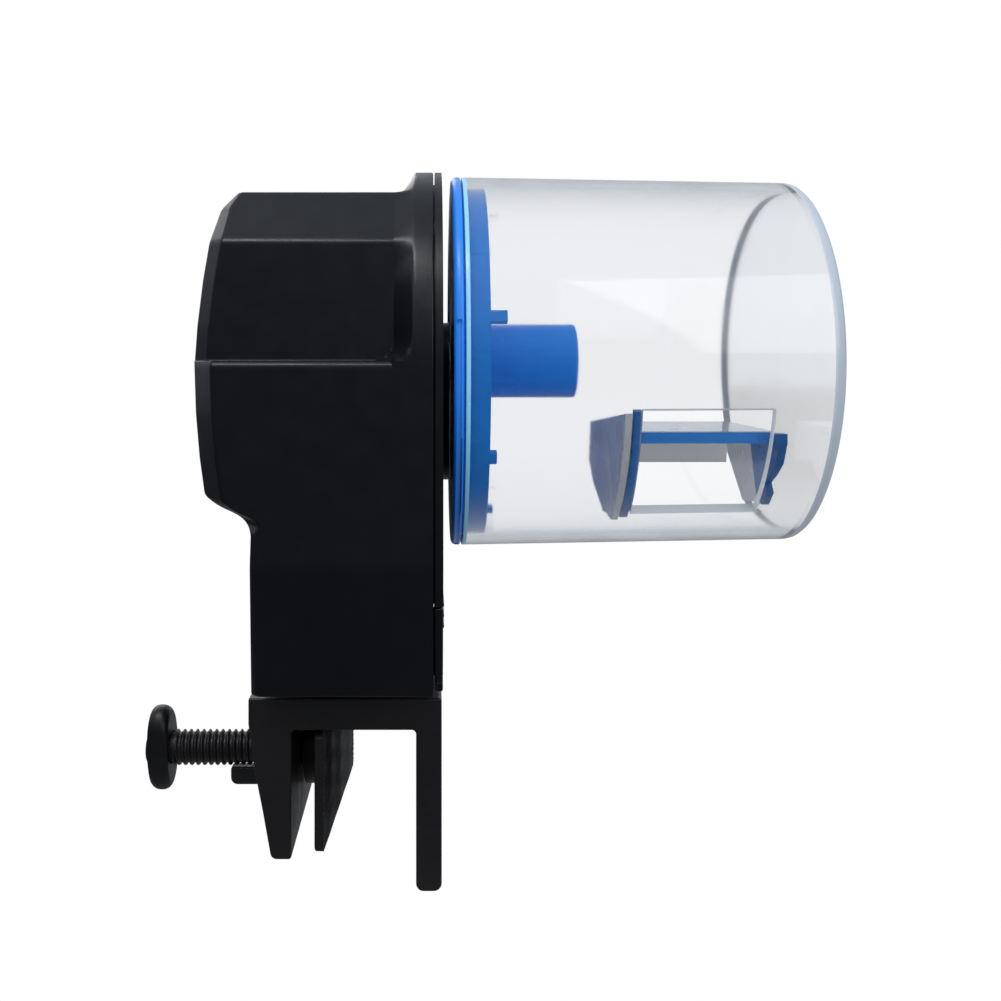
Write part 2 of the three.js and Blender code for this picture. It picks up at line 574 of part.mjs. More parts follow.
function foodDrum() {
  const r = (x) => DRUM_R + ((DRUM_END_R - DRUM_R) * (x - DRUM_X)) / (DRUM_END_X - DRUM_X);
  const inner = DRUM_END_X - 2;
  const shell = turned([
    [DRUM_END_X, 0], [DRUM_END_X, 33.4], [79.7, 34.4], [78.8, r(78.8)], [DRUM_X, DRUM_R],
    [DRUM_X, DRUM_R - DRUM_WALL], [inner - 1, r(inner) - DRUM_WALL], [inner, r(inner) - DRUM_WALL - 1], [inner, 0],
  ].reverse(), ROUND);
  const window = sideSector(30, 40, ...WINDOW_DEG, ...WINDOW_X);
  const stops = TAB_DEG.map((deg) => slabX([...arc(0, 0, 34.5, deg + 17, deg + 20, 2),
    ...arc(0, 0, 31.8, deg + 20, deg + 17, 2)], 21.3, 24.8));
  return moved(cut(joined(shell, ...stops), window), 0, 0, AXIS_Z);
}

// The clear scoop inside the drum: end wall, ceiling and inner lip.
function doseTray() {
  const outer = arc(0, 0, 33.1, 195.2, 238, 8);
  const endWall = slabX([...outer, [-8.3, -28.3], [3, -24.6], [8.6, -20.5], [6.6, -12.4], [-14, -12.4],
    [-16, -8.8]], TRAY_X, TRAY_X + PLATE_T);
  const ceiling = slabX([[6.6, -12.4], [-26.6, -12.4], [-26.6, -13.6], [6.2, -13.6]].reverse(),
    TRAY_X, DRUM_END_X - 2 - GAP);
  const lip = slabX([[5.4, -12.4], [7.5, -20.9], [8.7, -20.5], [6.6, -12.4]], TRAY_X, DRUM_END_X - 2 - GAP);
  return moved(joined(endWall, ceiling, lip), 0, 0, AXIS_Z);
}

// The blue dose slider: shutter strip, bar and measuring plate in one piece.
function doseSlider() {
  const a = TRAY_X + PLATE_T + GAP;
  const end = 71.3;
  const strip = sideSector(31.2, 32.7, 15, 58, a, a + 1.4);
  const bar = block([a, -29.7, -14.1], [end, -27.1, -12.2]);
  const outer = arc(0, 0, 32.7, 204, 212, 3);
  const plate = slabX([...outer, [-24.4, -19.6], [-21.4, -21.2], [-22.6, -22.8], [-19.8, -25.2],
    [-6, -26.4], [4.9, -20], [4.4, -13.95], [-28.4, -13.95]], end - PLATE_T, end);
  const foot = block([a, -29.7, -14.1], [a + 1.4, -27.1, -10]);
  return moved(joined(strip, bar, plate, foot), 0, 0, AXIS_Z);
}

// ---- scene graph ----
const feeder = new THREE.Group();
const LOOKS = {
  blackShell: [0x17191d, 0.42, 0],
  blackClamp: [0x1a1b1e, 0.55, 0],
  blueLid: [0x1b6fc6, 0.35, 0],
  blueSlider: [0x1b6fc6, 0.32, 0],
  clear: [0xe9eef4, 0.08, 0],
  lens: [0x2a3036, 0.1, 0],
  lcd: [0x8c9a8a, 0.4, 0],
  board: [0x1f6a3c, 0.6, 0],
  keys: [0x2a2c30, 0.5, 0],
  mat: [0x4a4c50, 0.85, 0],
  steel: [0xb8babd, 0.3, 1],
  brass: [0xc9a95c, 0.35, 1],
  acetal: [0xf0efe8, 0.5, 0],
  cell: [0x2c4a2f, 0.4, 0],
};

function add(name, body, look) {
  const [color, roughness, metalness] = LOOKS[look];
  const material = new THREE.MeshStandardMaterial({ color, roughness, metalness });
  const mesh = new THREE.Mesh(geometryOf(body), material);
  mesh.name = name;
  feeder.add(mesh);
}

add("front_housing", frontHousing(), "blackShell");
add("back_cover", backCover(), "blackShell");
add("battery_door", batteryDoor(), "blackShell");
POSTS.forEach(([y, z], i) => add(`cover_screw_${i + 1}`, screwX(y, z, -2, 10.5), "steel"));
add("display_lens", displayLens(), "lens");
add("lcd_module", lcdModule(), "lcd");
add("control_board", controlBoard(), "board");
BUTTON_Y.forEach((y, i) => add(`button_${i + 1}`, button(y), "keys"));
add("button_mat", buttonMat(), "mat");
add("battery_tray", batteryTray(), "blackShell");
CELL_X.forEach((x, i) => add(`cell_${i + 1}`, cell(x, i ? -1 : 1), "cell"));
add("contact_link", contactPlate(CELL_X, 1), "steel");
CELL_X.forEach((x, i) => add(`contact_${i + 1}`, contactPlate([x], -1), "steel"));
CELL_X.forEach((x, i) => add(`contact_spring_${i + 1}`, contactSpring(x, i ? 1 : -1), "steel"));
add("gear_motor", gearMotor(), "steel");
add("motor_pinion", motorPinion(), "brass");
add("first_gear", compoundGear(FIRST_AT, FIRST_PHASE, [-2, 0.3], [0.2, 4.3]), "acetal");
add("second_gear", compoundGear(SECOND_AT, SECOND_PHASE, [1.9, 4.2], [4.1, 8.3]), "acetal");
ARBORS.forEach((at, i) => add(`gear_arbor_${i + 1}`, barX(1, -4, 10.7, ...at, 16), "steel"));
add("gear_plate", gearPlate(), "acetal");
add("output_gear", outputGear(), "acetal");
add("drive_shaft", driveShaft(), "acetal");
add("shaft_bush", shaftBush(), "brass");
add("clamp_bracket", clampBracket(), "blackClamp");
BRACKET_SCREWS_Y.forEach((y, i) => add(`bracket_screw_${i + 1}`, bracketScrew(y), "steel"));
add("clamp_pad", clampPad(), "blackClamp");
add("clamp_screw", clampScrew(), "blackClamp");
add("clamp_knob", clampKnob(), "blackClamp");
add("drum_lid", drumLid(), "blueLid");
add("food_drum", foodDrum(), "clear");
add("dose_tray", doseTray(), "clear");
add("dose_slider", doseSlider(), "blueSlider");

export default feeder;
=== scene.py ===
import math

import bmesh
import bpy
from mathutils import Matrix, Vector


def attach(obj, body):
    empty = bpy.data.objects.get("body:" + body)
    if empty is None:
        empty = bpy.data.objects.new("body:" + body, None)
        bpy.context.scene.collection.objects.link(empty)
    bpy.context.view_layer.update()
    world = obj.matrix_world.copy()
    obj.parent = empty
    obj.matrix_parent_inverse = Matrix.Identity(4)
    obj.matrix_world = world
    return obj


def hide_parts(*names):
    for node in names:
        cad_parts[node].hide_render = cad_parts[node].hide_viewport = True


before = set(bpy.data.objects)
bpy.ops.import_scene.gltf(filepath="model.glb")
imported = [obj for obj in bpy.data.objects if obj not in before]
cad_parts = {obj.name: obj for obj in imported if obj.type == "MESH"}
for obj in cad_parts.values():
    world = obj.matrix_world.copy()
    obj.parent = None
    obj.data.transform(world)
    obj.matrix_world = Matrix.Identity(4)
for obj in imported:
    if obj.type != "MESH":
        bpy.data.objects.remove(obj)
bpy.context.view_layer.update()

# ---- dimensions of the object, in millimetres, as in the CAD model ----
MM = 0.001
AXIS_Z = 66
RIM_R = 36.9
PART_X = 11.1
NECK_TOP_Z = 32
BODY_BOTTOM_Z = 8.6
TURRET_TOP_Z = 96.4
TURRET_W = 31
TURRET_SIDE = (30, 86.6)
TURRET_TOP = (20.2, 96.4)
WALL = 2
LCD_Z = 75
LCD_GLASS_X = -26.2
LCD_TILT = math.radians(4.4)
BUTTON_Z = 54
BUTTON_Y = (-18, -6, 6, 18)
POSTS = ((22, 88), (-22, 88), (30.4, 35.5), (-30.4, 35.5))
BRACKET_SCREW_X = -3.525
BRACKET_SCREWS_Y = (-12, 12)
SCREW_Z = -10.8
SCREW_R = 3.4
SCREW_PITCH = 1.27
PAD_FACE_X = -7.3
PAD_YAW = math.radians(-3.3)
DRUM_R = 36
DRUM_END_R = 34.9
DRUM_WALL = 1.8
LID_X = 14.5
DRUM_X = 16.5
DRUM_END_X = 80.1
HUB_R = 7.25
HUB_END_X = 39
TAB_DEG = (167.4, 47.4, 287.4)


# ---- mesh helpers: coordinates in millimetres ----
def mesh_object(name, points, faces):
    mesh = bpy.data.meshes.new(name)
    mesh.from_pydata([Vector(p) * MM for p in points], [], faces)
    obj = bpy.data.objects.new(name, mesh)
    bpy.context.scene.collection.objects.link(obj)
    shape = bmesh.new()
    shape.from_mesh(mesh)
    bmesh.ops.recalc_face_normals(shape, faces=shape.faces)
    shape.to_mesh(mesh)
    shape.free()
    return obj


def loft(name, rings):
    """A skin over rings with the same number of points, closed at both ends."""
    count = len(rings[0])
    faces = [tuple(range(count)), tuple(range((len(rings) - 1) * count, len(rings) * count))]
    for i in range(len(rings) - 1):
        for j in range(count):
            k = (j + 1) % count
            a, b = i * count + j, i * count + k
            faces.append((a, b, b + count, a + count))
    return mesh_object(name, [p for ring in rings for p in ring], faces)


def lathe(name, profile, segments=144, z=AXIS_Z, radius_at=None):
    """(x, r) points turned about the X direction. A point with r = 0 lies on the axis."""
    points, rows = [], []
    for x, r in profile:
        if r == 0:
            rows.append([len(points)] * segments)
            points.append((x, 0, z))
            continue
        rows.append([len(points) + i for i in range(segments)])
        for i in range(segments):
            angle = 2 * math.pi * i / segments
            length = radius_at(x, r, angle) if radius_at else r
            points.append((x, length * math.cos(angle), z + length * math.sin(angle)))
    faces = []
    for first, second in zip(rows, rows[1:]):
        for i in range(segments):
            j = (i + 1) % segments
            face = list(dict.fromkeys((first[i], first[j], second[j], second[i])))
            if len(face) > 2:
                faces.append(face)
    return mesh_object(name, points, faces)


def filleted(outline, steps=4):
    """A closed outline of (u, v, radius) corners, with each corner rounded."""
    result = []
    for i, (u, v, radius) in enumerate(outline):
        if not radius:
            result.append((u, v))
            continue
        here = Vector((u, v))
        back = Vector(outline[i - 1][:2]) - here
        ahead = Vector(outline[(i + 1) % len(outline)][:2]) - here
        half = back.angle(ahead) / 2
        reach = min(radius / math.tan(half), 0.45 * back.length, 0.45 * ahead.length)
        radius = reach * math.tan(half)
        middle = here + (back.normalized() + ahead.normalized()).normalized() * radius / math.sin(half)
        start = here + back.normalized() * reach - middle
        end = here + ahead.normalized() * reach - middle
        first = math.atan2(start.y, start.x)
        turn = (math.atan2(end.y, end.x) - first + math.pi) % (2 * math.pi) - math.pi
        for k in range(steps + 1):
            angle = first + turn * k / steps
            result.append((middle.x + radius * math.cos(angle), middle.y + radius * math.sin(angle)))
    return result


def slab_x(name, outline, a, b):
    """A (y, z) outline from x = a to x = b."""
    return loft(name, [[(x, y, z) for y, z in outline] for x in (a, b)])


def slab_y(name, outline, a, b):
    """An (x, z) outline from y = a to y = b."""
    return loft(name, [[(x, y, z) for x, z in outline] for y in (a, b)])


def slab_z(name, outline, a, b):
    return loft(name, [[(x, y, z) for x, y in outline] for z in (a, b)])


def block(name, low, high):
    (x0, y0, z0), (x1, y1, z1) = low, high
    return slab_x(name, [(y0, z0), (y1, z0), (y1, z1), (y0, z1)], x0, x1)


def circle(cu, cv, r, steps=48, start=0, end=360):
    full = end - start == 360
    count = steps if full else steps + 1
    angles = [math.radians(start + (end - start) * i / steps) for i in range(count)]
    return [(cu + r * math.cos(t), cv + r * math.sin(t)) for t in angles]


def sector(name, r_in, r_out, from_deg, to_deg, a, b, steps=24):
    """A wedge of a ring about the drum's axis; degrees from +Y towards +Z."""
    outline = circle(0, AXIS_Z, r_out, steps, from_deg, to_deg)
    outline += circle(0, AXIS_Z, r_in, steps, from_deg, to_deg)[::-1]
    return slab_x(name, outline, a, b)


def applied(obj):
    """Makes the modifiers' result the object's own mesh."""
    bpy.context.view_layer.update()
    graph = bpy.context.evaluated_depsgraph_get()
    mesh = bpy.data.meshes.new_from_object(obj.evaluated_get(graph))
    old = obj.data
    obj.modifiers.clear()
    obj.data = mesh
    bpy.data.meshes.remove(old)
    return obj


def boolean(obj, operation, *tools):
    for tool in tools:
        step = obj.modifiers.new("step", "BOOLEAN")
        step.object, step.operation, step.solver = tool, operation, "MANIFOLD"
    applied(obj)
    for tool in tools:
        bpy.data.objects.remove(tool)
    return obj


def cut(obj, *tools):
    return boolean(obj, "DIFFERENCE", *tools)


def joined(obj, *tools):
    return boolean(obj, "UNION", *tools)


def soften(obj, sharp_deg=35):
    mesh = obj.data
    mesh.polygons.foreach_set("use_smooth", [True] * len(mesh.polygons))
    mesh.set_sharp_from_angle(angle=math.radians(sharp_deg))


def bevelled(obj, width, segments=2, angle=35):
    bevel = obj.modifiers.new("edges", "BEVEL")
    bevel.width, bevel.segments = width * MM, segments
    bevel.limit_method, bevel.angle_limit = "ANGLE", math.radians(angle)
    bevel.harden_normals = True
    return obj


def weighted(obj):
    normals = obj.modifiers.new("normals", "WEIGHTED_NORMAL")
    normals.keep_sharp, normals.weight = True, 80
    return obj


def piece(obj, body, slot, material, *nodes, sharp=35, edge=0, level=True):
    """Finishes a new piece: shading, material, body and the CAD nodes that it stands for."""
    soften(obj, sharp)
    obj.data.materials.clear()
    obj.data.materials.append(material)
    if edge:
        bevelled(obj, edge)
    elif level:
        weighted(obj)
    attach(obj, body)
    if nodes:
        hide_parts(*nodes)
    return obj


# ---- procedural materials ----
class Look:
    """A material with one Principled shader, and short ways to add nodes."""

    def __init__(self, name):
        self.material = bpy.data.materials.new(name)
        self.material.use_nodes = True
        self.tree = self.material.node_tree
        self.shader = self.tree.nodes["Principled BSDF"]
        self.place = self.node("ShaderNodeTexCoord").outputs["Object"]

    def node(self, kind, **settings):
        made = self.tree.nodes.new(kind)
        for key, value in settings.items():
            if hasattr(made, key):
                setattr(made, key, value)
            else:
                self.feed(made, key.replace("_", " "), value)
        return made

    def feed(self, node, key, value):
        socket = node.inputs[key]
        if isinstance(value, bpy.types.NodeSocket):
            self.tree.links.new(value, socket)
        elif isinstance(value, tuple) and len(value) == 3 and len(socket.default_value) == 4:
            socket.default_value = (*value, 1)
        else:
            socket.default_value = value

    def set(self, **values):
        for key, value in values.items():
            self.feed(self.shader, key.replace("_", " "), value)
        return self

    def noise(self, scale, detail=3, roughness=0.5):
        made = self.node("ShaderNodeTexNoise", Vector=self.place, Scale=scale, Detail=detail,
                         Roughness=roughness)
        return made.outputs["Fac"]

    def span(self, value, low, high, start=0.3, end=0.7):
        made = self.node("ShaderNodeMapRange")
        for key, number in (("Value", value), ("From Min", start), ("From Max", end),
                            ("To Min", low), ("To Max", high)):
            self.feed(made, key, number)
        return made.outputs["Result"]

    def blend(self, share, first, second):
        made = self.node("ShaderNodeMix", data_type="RGBA")
        self.feed(made, 0, share)
        self.feed(made, 6, first)
        self.feed(made, 7, second)
        return made.outputs[2]

    def bump(self, height, distance, strength=1.0, below=None):
        made = self.node("ShaderNodeBump", Height=height, Distance=distance, Strength=strength)
        if below is not None:
            self.feed(made, "Normal", below)
        return made.outputs["Normal"]


def plastic(name, colour, roughness, grain=0.000012, grain_scale=5200, swing=0.12, ior=1.5, specular=0.5):
    """Moulded plastic: faint flow mottling, uneven gloss and a fine moulded grain."""
    look = Look(name)
    flow = look.noise(45, 4, 0.6)
    low = tuple(c * (1 - swing) for c in colour)
    high = tuple(c * (1 + swing) for c in colour)
    look.set(Base_Color=look.blend(look.span(flow, 0, 1), low, high), IOR=ior, Specular_IOR_Level=specular)
    gloss = look.noise(260, 3)
    look.set(Roughness=look.span(gloss, roughness * 0.88, roughness * 1.12))
    ripple = look.bump(look.noise(120, 2), 0.00003, 0.35)
    look.set(Normal=look.bump(look.noise(grain_scale, 2), grain, 0.6, ripple))
    return look.material


def clear(name, tint, roughness=0.03, milky=0.0, ior=1.53):
    """Clear moulded polystyrene with slight waves; a milky share stays opaque, and it holds the painted
    colour of the painted-light copies of the clear plastic.
    """
    look = Look(name)
    look.set(Base_Color=tint, IOR=ior, Transmission_Weight=1.0 - milky)
    look.set(Roughness=look.span(look.noise(90, 3), roughness * 0.6, roughness * 1.4))
    look.set(Normal=look.bump(look.noise(38, 1), 0.00004, 0.5))
    return look.material


def metal(name, colour, roughness, brushed=0.000004):
    look = Look(name)
    stretched = look.node("ShaderNodeMapping", Vector=look.place)
    look.feed(stretched, "Scale", (220, 4200, 4200))
    lines = look.node("ShaderNodeTexNoise", Vector=stretched.outputs["Vector"], Scale=1.0, Detail=2.0)
    streak = lines.outputs["Fac"]
    low = tuple(c * 0.85 for c in colour)
    look.set(Base_Color=look.blend(look.span(streak, 0, 1), low, colour), Metallic=1.0)
    look.set(Roughness=look.span(streak, roughness * 0.8, roughness * 1.25))
    look.set(Normal=look.bump(streak, brushed))
    return look.material


def rubber(name, colour):
    look = Look(name)
    low = tuple(c * 0.8 for c in colour)
    look.set(Base_Color=look.blend(look.span(look.noise(300), 0, 1), low, colour))
    look.set(Roughness=look.span(look.noise(900), 0.65, 0.85), Normal=look.bump(look.noise(3000), 0.00001))
    return look.material


BLACK = plastic("moulded_black_shell", (0.0040, 0.0050, 0.0076), 0.34)
BLACK_CLAMP = plastic("moulded_black_clamp", (0.0092, 0.0090, 0.0112), 0.42, grain=0.00002,
                      grain_scale=3800)
BLUE = plastic("moulded_blue_lid", (0.014, 0.222, 0.820), 0.30, grain=0.000006, swing=0.06)
BLUE_SLIDER = plastic("moulded_blue_slider", (0.022, 0.170, 0.520), 0.30, grain=0.000006, swing=0.06)
CLEAR = clear("clear_drum_wall", (0.985, 0.99, 1.0), 0.06)
# Painted light: the drum's clear end rim gets an opaque grey-blue copy of the clear plastic. This is
# painted shade and sheen standing in for light bent through the clear corner.
RIM_PAINTED_LIGHT = clear("clear_drum_rim_painted_light", (0.49, 0.56, 0.66), 0.16, 0.9)
# Painted light: the drum's clear mouth band gets an opaque cyan-blue copy of the clear plastic. This is
# painted colour standing in for the blue lid showing through the clear band.
MOUTH_PAINTED_BLUE = clear("clear_drum_mouth_painted_blue", (0.30, 0.70, 0.98), 0.25, 0.85)
# Painted light: the outlet's cut faces in the clear drum get an opaque pale grey copy of the clear plastic.
# This is painted colour standing in for how light shows at those clear edges.
CUT_PAINTED_GREY = clear("clear_drum_outlet_painted_grey", (0.80, 0.85, 0.90), 0.2, 0.75)
BLACK_KNOB = plastic("black_knob", (0.0040, 0.0042, 0.0056), 0.42)
CLEAR_TRAY = clear("clear_tray", (0.95, 0.97, 1.0), 0.08, 0.75)
# Painted light: the clear drum's inward-looking rim faces and the outlet's end faces get an opaque white
# copy of the clear plastic, a painted brightness that makes them vanish against the see-through.
PALE_PAINTED_WHITE = clear("clear_drum_inner_edges_painted_white", (0.96, 0.98, 1.0), 0.3, 0.95)
# Painted light: a brighter, more saturated copy of the lid's blue for its faces inside the drum, making up
# for the light lost through the clear wall.
BLUE_PAINTED_BRIGHT = plastic("blue_lid_painted_bright", (0.002, 0.30, 1.0), 0.30)
# Painted shade and reflection: an opaque pale grey-blue copy of the clear plastic. It stands in for shade
# and reflected blue on the tray's end wall and for shade on the slider plate's far part.
TINTED_PAINTED_SHADE = clear("grey_blue_painted_shade", (0.90, 0.95, 1.0), 0.3, 0.85)
INK = plastic("lcd_ink", (0.012, 0.014, 0.012), 0.5)
LENS = clear("display_window", (0.75, 0.8, 0.82), 0.05)
KEYS = plastic("button_caps", (0.035, 0.036, 0.04), 0.45, grain=0.00002)
MAT = rubber("silicone_mat", (0.09, 0.095, 0.10))
STEEL = metal("plated_steel", (0.62, 0.62, 0.64), 0.28)
BRASS = metal("turned_brass", (0.72, 0.50, 0.20), 0.30)
ACETAL = plastic("natural_acetal", (0.80, 0.79, 0.72), 0.42, swing=0.03)


def lcd_look():
    look = Look("lcd_glass")
    place = look.node("ShaderNodeSeparateXYZ", Vector=look.place)
    # Painted sheen: the LCD glass is lighter towards the top, as if lit from above.
    painted_top_sheen = look.span(place.outputs["Z"], 0, 1, 0.062, 0.088)
    look.set(Base_Color=look.blend(painted_top_sheen, (0.20, 0.24, 0.19), (0.27, 0.31, 0.25)))
    look.set(Roughness=look.span(look.noise(2000), 0.22, 0.34))
    look.set(Normal=look.bump(look.noise(6000), 0.000003))
    return look.material


def board_look():
    look = Look("printed_circuit")
    cells = look.node("ShaderNodeTexBrick", Vector=look.place, Scale=220.0)
    tracks = look.span(cells.outputs["Fac"], 0, 1, 0, 1)
    look.set(Base_Color=look.blend(tracks, (0.010, 0.085, 0.030), (0.030, 0.150, 0.060)))
    look.set(Roughness=look.span(look.noise(400), 0.3, 0.5))
    look.set(Normal=look.bump(cells.outputs["Fac"], 0.00003))
    return look.material


def cell_look():
    look = Look("battery_sleeve")
    place = look.node("ShaderNodeSeparateXYZ", Vector=look.place)
    band = look.node("ShaderNodeMath", operation="GREATER_THAN")
    look.feed(band, 0, place.outputs["Y"])
    look.feed(band, 1, 0.012)
    look.set(Base_Color=look.blend(band.outputs[0], (0.012, 0.045, 0.020), (0.55, 0.38, 0.14)))
    look.set(Metallic=0.5, Roughness=look.span(look.noise(500), 0.28, 0.4))
    return look.material


LCD, BOARD, CELL = lcd_look(), board_look(), cell_look()

# ---- camera, at the photograph's viewpoint ----
camera = bpy.data.cameras.new("camera")
camera.lens, camera.sensor_width = 37.69, 36
camera.shift_x, camera.shift_y = 0.0704, -0.1394
camera.clip_start, camera.clip_end = 0.01, 20
viewer = bpy.data.objects.new("camera", camera)
viewer.location, viewer.rotation_euler = (0.0105, -0.2086, 0.066), (math.pi / 2, 0, 0)
bpy.context.scene.collection.objects.link(viewer)
bpy.context.scene.camera = viewer


# ---- plain pale floor and soft studio light ----
def math_node(tree, operation, first, second):
    made = tree.nodes.new("ShaderNodeMath")
    made.operation, made.use_clamp = operation, operation == "ADD"
    for socket, value in zip(made.inputs, (first, second)):
        if isinstance(value, bpy.types.NodeSocket):
            tree.links.new(value, socket)
        else:
            socket.default_value = value
    return made.outputs[0]


def ray_kinds(tree):
    """Shares for rays seen directly or through clear plastic, rays turned inside clear plastic, and
    rays that light a matt surface."""
    path = tree.nodes.new("ShaderNodeLightPath")
    through = math_node(tree, "GREATER_THAN", path.outputs["Transmission Depth"], 0.5)
    mirrored = math_node(tree, "GREATER_THAN", path.outputs["Glossy Depth"], 0.5)
    matt = math_node(tree, "GREATER_THAN", path.outputs["Diffuse Depth"], 0.5)
    plain = math_node(tree, "SUBTRACT", 1, math_node(tree, "ADD", mirrored, matt))
    passed = math_node(tree, "MULTIPLY", through, plain)
    direct = math_node(tree, "ADD", path.outputs["Is Camera Ray"], passed)
    shallow = math_node(tree, "LESS_THAN", path.outputs["Transmission Depth"], 3.5)
    turned = math_node(tree, "MULTIPLY", math_node(tree, "MULTIPLY", through, mirrored), shallow)
    return direct, turned, matt


def mixed_colour(tree, share, first, second):
    mix = tree.nodes.new("ShaderNodeMix")
    mix.data_type = "RGBA"
    tree.links.new(share, mix.inputs[0])
    for index, value in ((6, first), (7, second)):
        if isinstance(value, bpy.types.NodeSocket):
            tree.links.new(value, mix.inputs[index])
        else:
            mix.inputs[index].default_value = (*value, 1)
    return mix.outputs[2]


def smooth_share(tree, value, low, high):
    share = tree.nodes.new("ShaderNodeMapRange")
    share.interpolation_type = "SMOOTHSTEP"
    tree.links.new(value, share.inputs["Value"])
    share.inputs["From Min"].default_value, share.inputs["From Max"].default_value = low, high
    return share.outputs["Result"]


DARK = (0.045, 0.055, 0.075)
CEILING = (0.34, 0.37, 0.42)
REAR = (0.62, 0.66, 0.70)
INSIDE_PLASTIC = (0.62, 0.66, 0.70)
MATT_LIGHT = (0.95, 0.96, 0.98)
FLOOR_DARK = (0.04, 0.045, 0.05)
FLOOR_GLOW = (0.30, 0.31, 0.32)
FLOOR_MATT = (0.5, 0.5, 0.5)


def studio_world():
    """A white surround whose reflection darkens towards the camera's side."""
    world = bpy.data.worlds.new("studio")
    world.use_nodes = True
    tree = world.node_tree
    place = tree.nodes.new("ShaderNodeTexCoord")
    split = tree.nodes.new("ShaderNodeSeparateXYZ")
    tree.links.new(place.outputs["Generated"], split.inputs[0])
    sky = mixed_colour(tree, smooth_share(tree, split.outputs["Z"], 0.02, 0.85), DARK, CEILING)
    sky = mixed_colour(tree, smooth_share(tree, split.outputs["Y"], 0.35, 0.98), sky, REAR)
    direct, turned, matt = ray_kinds(tree)
    turned = math_node(tree, "MULTIPLY", turned, smooth_share(tree, split.outputs["Y"], -0.3, 0.1))
    lit = mixed_colour(tree, turned, mixed_colour(tree, matt, sky, MATT_LIGHT), INSIDE_PLASTIC)
    tree.links.new(mixed_colour(tree, direct, lit, (1, 1, 1)), tree.nodes["Background"].inputs["Color"])
    bpy.context.scene.world = world


def studio_floor():
    """A plain pale floor. It lets rays from below pass, so that it never hides the object."""
    floor = slab_z("floor", [(-3000, -3000), (3000, -3000), (3000, 3000), (-3000, 3000)], -31, -29)
    material = bpy.data.materials.new("pale_floor")
    floor.data.materials.append(material)
    material.use_nodes = True
    tree = material.node_tree
    tree.nodes.remove(tree.nodes["Principled BSDF"])
    glow = tree.nodes.new("ShaderNodeEmission")
    direct, turned, matt = ray_kinds(tree)
    surface = tree.nodes.new("ShaderNodeNewGeometry")
    split = tree.nodes.new("ShaderNodeSeparateXYZ")
    tree.links.new(surface.outputs["Position"], split.inputs[0])
    behind = smooth_share(tree, split.outputs["Y"], -0.05, 0.03)
    glow_share = math_node(tree, "MULTIPLY", behind, smooth_share(tree, split.outputs["X"], -0.12, -0.03))
    near = mixed_colour(tree, glow_share, FLOOR_DARK, FLOOR_GLOW)
    turned = math_node(tree, "MULTIPLY", turned, behind)
    lit = mixed_colour(tree, turned, mixed_colour(tree, matt, near, FLOOR_MATT), INSIDE_PLASTIC)
    tree.links.new(mixed_colour(tree, direct, lit, (1, 1, 1)), glow.inputs["Color"])
    pass_through = tree.nodes.new("ShaderNodeBsdfTransparent")
    under = tree.nodes.new("ShaderNodeMixShader")
    tree.links.new(surface.outputs["Backfacing"], under.inputs[0])
    tree.links.new(glow.outputs[0], under.inputs[1])
    tree.links.new(pass_through.outputs[0], under.inputs[2])
    tree.links.new(under.outputs[0], tree.nodes["Material Output"].inputs["Surface"])


def soft_light(name, location, aim, size, power):
    lamp = bpy.data.lights.new(name, "AREA")
    lamp.shape, lamp.size, lamp.size_y, lamp.energy = "RECTANGLE", size[0], size[1], power
    obj = bpy.data.objects.new(name, lamp)
    obj.location = location
    obj.rotation_euler = (Vector(aim) - Vector(location)).to_track_quat("-Z", "Y").to_euler()
    obj.visible_camera = False
    obj.visible_transmission = False
    bpy.context.scene.collection.objects.link(obj)


bpy.context.scene.view_settings.view_transform = "Standard"
studio_world()
studio_floor()
soft_light("left_panel", (-0.55, 0.05, 0.32), (0, 0, 0.06), (0.35, 0.35), 0.18)
soft_light("rear_left_panel", (-0.31, 0.56, 0.39), (0, 0, 0.06), (0.60, 0.30), 0.9)
soft_light("overhead_strip", (-0.17, -0.30, 0.64), (-0.01, -0.035, 0.066), (0.36, 0.14), 1.3)
soft_light("right_front_panel", (0.34, -0.59, 0.39), (0.045, -0.03, 0.08), (0.28, 0.58), 0.86)


# ---- front housing ----
FACE = ((8.6, -20.2), (32, -19.3), (37.8, -19.1), (39.4, -23.4), (41.2, -27.5), (43, -29.9), (49.5, -30.8),
        (57, -31.45), (66, -31.75), (72, -31.35), (80, -30.4), (86.6, -29.3), (93, -27.8), (96.4, -24.9))
BEVEL_ALONG_X = ((37.8, 1), (39.8, 4.2), (AXIS_Z, 4.3))
BEVEL_ALONG_Y = ((37.8, 1), (39.8, 7.2), (AXIS_Z, 7.6))
TOP_BEVEL = ((91, 2.6), (TURRET_TOP_Z, 0.7))
BOW = ((37.8, 0), (39.4, 0.0022))
BODY = ((BODY_BOTTOM_Z, 30), (NECK_TOP_Z, RIM_R), (AXIS_Z, RIM_R))
TURRET = ((AXIS_Z, TURRET_W), (TURRET_SIDE[1], TURRET_SIDE[0]), (TURRET_TOP[1], TURRET_TOP[0]))


def mix(table, z):
    for (z0, v0), (z1, v1) in zip(table, table[1:]):
        if z <= z1:
            return v0 + (v1 - v0) * max(0, z - z0) / (z1 - z0)
    return table[-1][1]


def soft(table, z, reach=0.5):
    """The table's value with its corners rounded."""
    return sum(mix(table, z + reach * t / 4) for t in range(-4, 5)) / 9


